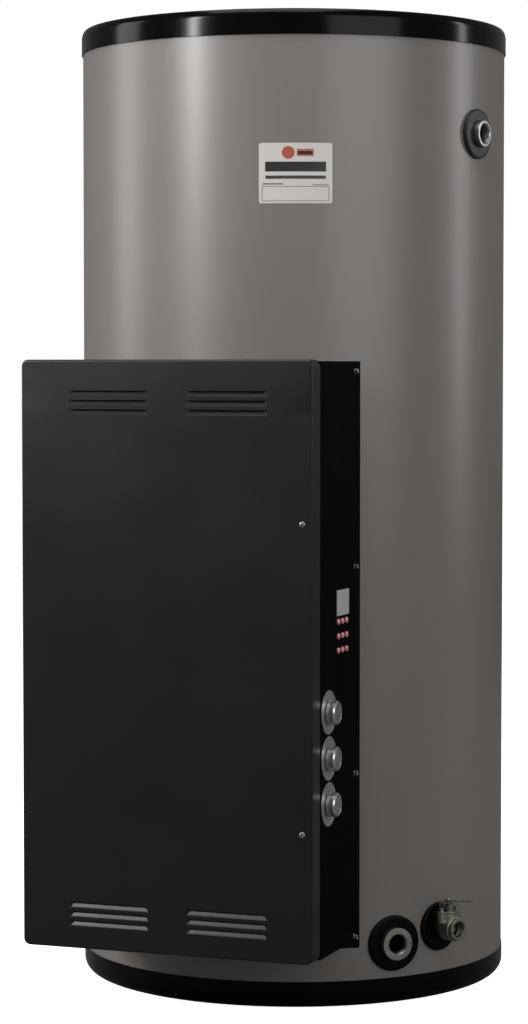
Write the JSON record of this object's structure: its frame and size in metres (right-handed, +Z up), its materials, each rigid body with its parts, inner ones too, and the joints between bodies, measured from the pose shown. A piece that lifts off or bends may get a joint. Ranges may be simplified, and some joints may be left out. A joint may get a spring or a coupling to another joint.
{
  "type": "tank water heater",
  "caption": "Tall electric tank water heater with a jacketed cylinder, a hinged control cabinet with dials, side water couplings and a drain valve.",
  "frame": {"origin": "on the tank's axis at the floor, at the underside of the base pan", "axes": "+Z up along the tank's axis; the control cabinet faces -Y; the dials and the water fittings are on the +X side"},
  "size_m": [0.6792, 0.8892, 1.4896],
  "materials": {
    "jacket_paint": "satin",
    "black_gloss_paint": "gloss",
    "cabinet_paint": "satin",
    "door_paint": "satin",
    "label_vinyl": "satin",
    "tank_steel": "matt mill",
    "anode_magnesium": "matt",
    "foam": "matt",
    "coupling_steel": "satin",
    "rosette_plastic": "gloss",
    "grey_plastic": "satin",
    "valve_brass": "cast, dull",
    "ball_chrome": "polished",
    "stem_brass": "turned",
    "lever_steel": "zinc plated",
    "zinc_screws": "zinc plated",
    "gasket_rubber": "matt",
    "element_sheath": "satin",
    "display_film": "gloss",
    "module_plastic": "matt",
    "lamp_plastic": "gloss",
    "dial_aluminium": "satin",
    "knob_metal": "satin face, polished side",
    "spindle_steel": "turned",
    "contactor_plastic": "matt",
    "armature_plastic": "matt",
    "fuse_block_plastic": "matt",
    "fuse_tube": "satin",
    "reset_plastic": "gloss",
    "wire_insulation": "satin"
  },
  "bodies": {
    "heater": {"anode_rod": "anode_magnesium", "base_pan": "black_gloss_paint", "cabinet_back": "cabinet_paint", "cabinet_bottom": "cabinet_paint", "cabinet_brackets": "cabinet_paint", "cabinet_top": "cabinet_paint", "cartridge_fuses": "fuse_tube", "contactor_housings": "contactor_plastic", "control_side_panel": "cabinet_paint", "dial_plates": "dial_aluminium", "display_lens": "display_film", "display_module": "module_plastic", "drain_bonnet": "valve_brass", "drain_bonnet_screws": "zinc_screws", "drain_rosette": "rosette_plastic", "drain_spud": "tank_steel", "drain_valve_body": "valve_brass", "element_flange_bolts": "zinc_screws", "element_flanges": "tank_steel", "element_gaskets": "gasket_rubber", "element_leads": "wire_insulation", "element_necks": "tank_steel", "foam_insulation": "foam", "fuse_blocks": "fuse_block_plastic", "heating_elements": "element_sheath", "hinge_cabinet_leaves": "cabinet_paint", "indicator_lamps": "lamp_plastic", "inlet_coupling": "coupling_steel", "inlet_rosette": "rosette_plastic", "jacket": "jacket_paint", "jacket_seam_screws": "zinc_screws", "left_side_panel": "cabinet_paint", "limit_switch": "module_plastic", "outlet_coupling": "coupling_steel", "outlet_rosette": "grey_plastic", "rating_label": "label_vinyl", "side_panel_screws": "zinc_screws", "tank_bottom_head": "tank_steel", "tank_shell": "tank_steel", "tank_top_head": "tank_steel", "terminal_block": "contactor_plastic", "thermostat_bodies": "module_plastic", "top_cap": "black_gloss_paint"},
    "door": {"door_panel": "door_paint", "door_screws": "zinc_screws", "hinge_door_leaves": "cabinet_paint", "hinge_pins": "zinc_screws"},
    "dial_1": {"dial_knob_1": "knob_metal", "dial_spindle_1": "spindle_steel"},
    "armature_1": {"contactor_armature_1": "armature_plastic"},
    "dial_2": {"dial_knob_2": "knob_metal", "dial_spindle_2": "spindle_steel"},
    "armature_2": {"contactor_armature_2": "armature_plastic"},
    "dial_3": {"dial_knob_3": "knob_metal", "dial_spindle_3": "spindle_steel"},
    "armature_3": {"contactor_armature_3": "armature_plastic"},
    "drain_handle": {"drain_lever": "lever_steel", "drain_stem": "stem_brass", "drain_ball": "ball_chrome"},
    "reset": {"reset_button": "reset_plastic"}
  },
  "joints": [
    {"name": "door_hinge", "type": "hinge", "parent": "heater", "child": "door", "pos_m": [-0.227, -0.51225, 0.5452], "axis": [0, 0, -1], "range_deg": [0, 120]},
    {"name": "dial_1_turn", "type": "hinge", "parent": "heater", "child": "dial_1", "pos_m": [0.2233, -0.475, 0.3377], "axis": [-1, 0, 0], "range_deg": [0, 270]},
    {"name": "dial_2_turn", "type": "hinge", "parent": "heater", "child": "dial_2", "pos_m": [0.2233, -0.475, 0.4036], "axis": [-1, 0, 0], "range_deg": [0, 270]},
    {"name": "dial_3_turn", "type": "hinge", "parent": "heater", "child": "dial_3", "pos_m": [0.2233, -0.475, 0.4695], "axis": [-1, 0, 0], "range_deg": [0, 270]},
    {"name": "armature_1_slide", "type": "slide", "parent": "heater", "child": "armature_1", "axis": [0, 1, 0], "range_m": [0, 0.004], "stiffness_N_per_m": 400, "springref_m": -0.003},
    {"name": "armature_2_slide", "type": "slide", "parent": "heater", "child": "armature_2", "axis": [0, 1, 0], "range_m": [0, 0.004], "stiffness_N_per_m": 400, "springref_m": -0.003},
    {"name": "armature_3_slide", "type": "slide", "parent": "heater", "child": "armature_3", "axis": [0, 1, 0], "range_m": [0, 0.004], "stiffness_N_per_m": 400, "springref_m": -0.003},
    {"name": "drain_handle_turn", "type": "hinge", "parent": "heater", "child": "drain_handle", "pos_m": [0.3113, -0.17043, 0.1105], "axis": [0, 0, -1], "range_deg": [0, 90]},
    {"name": "reset_slide", "type": "slide", "parent": "heater", "child": "reset", "axis": [0, 1, 0], "range_m": [0, 0.002], "stiffness_N_per_m": 400, "springref_m": -0.003}
  ]
}
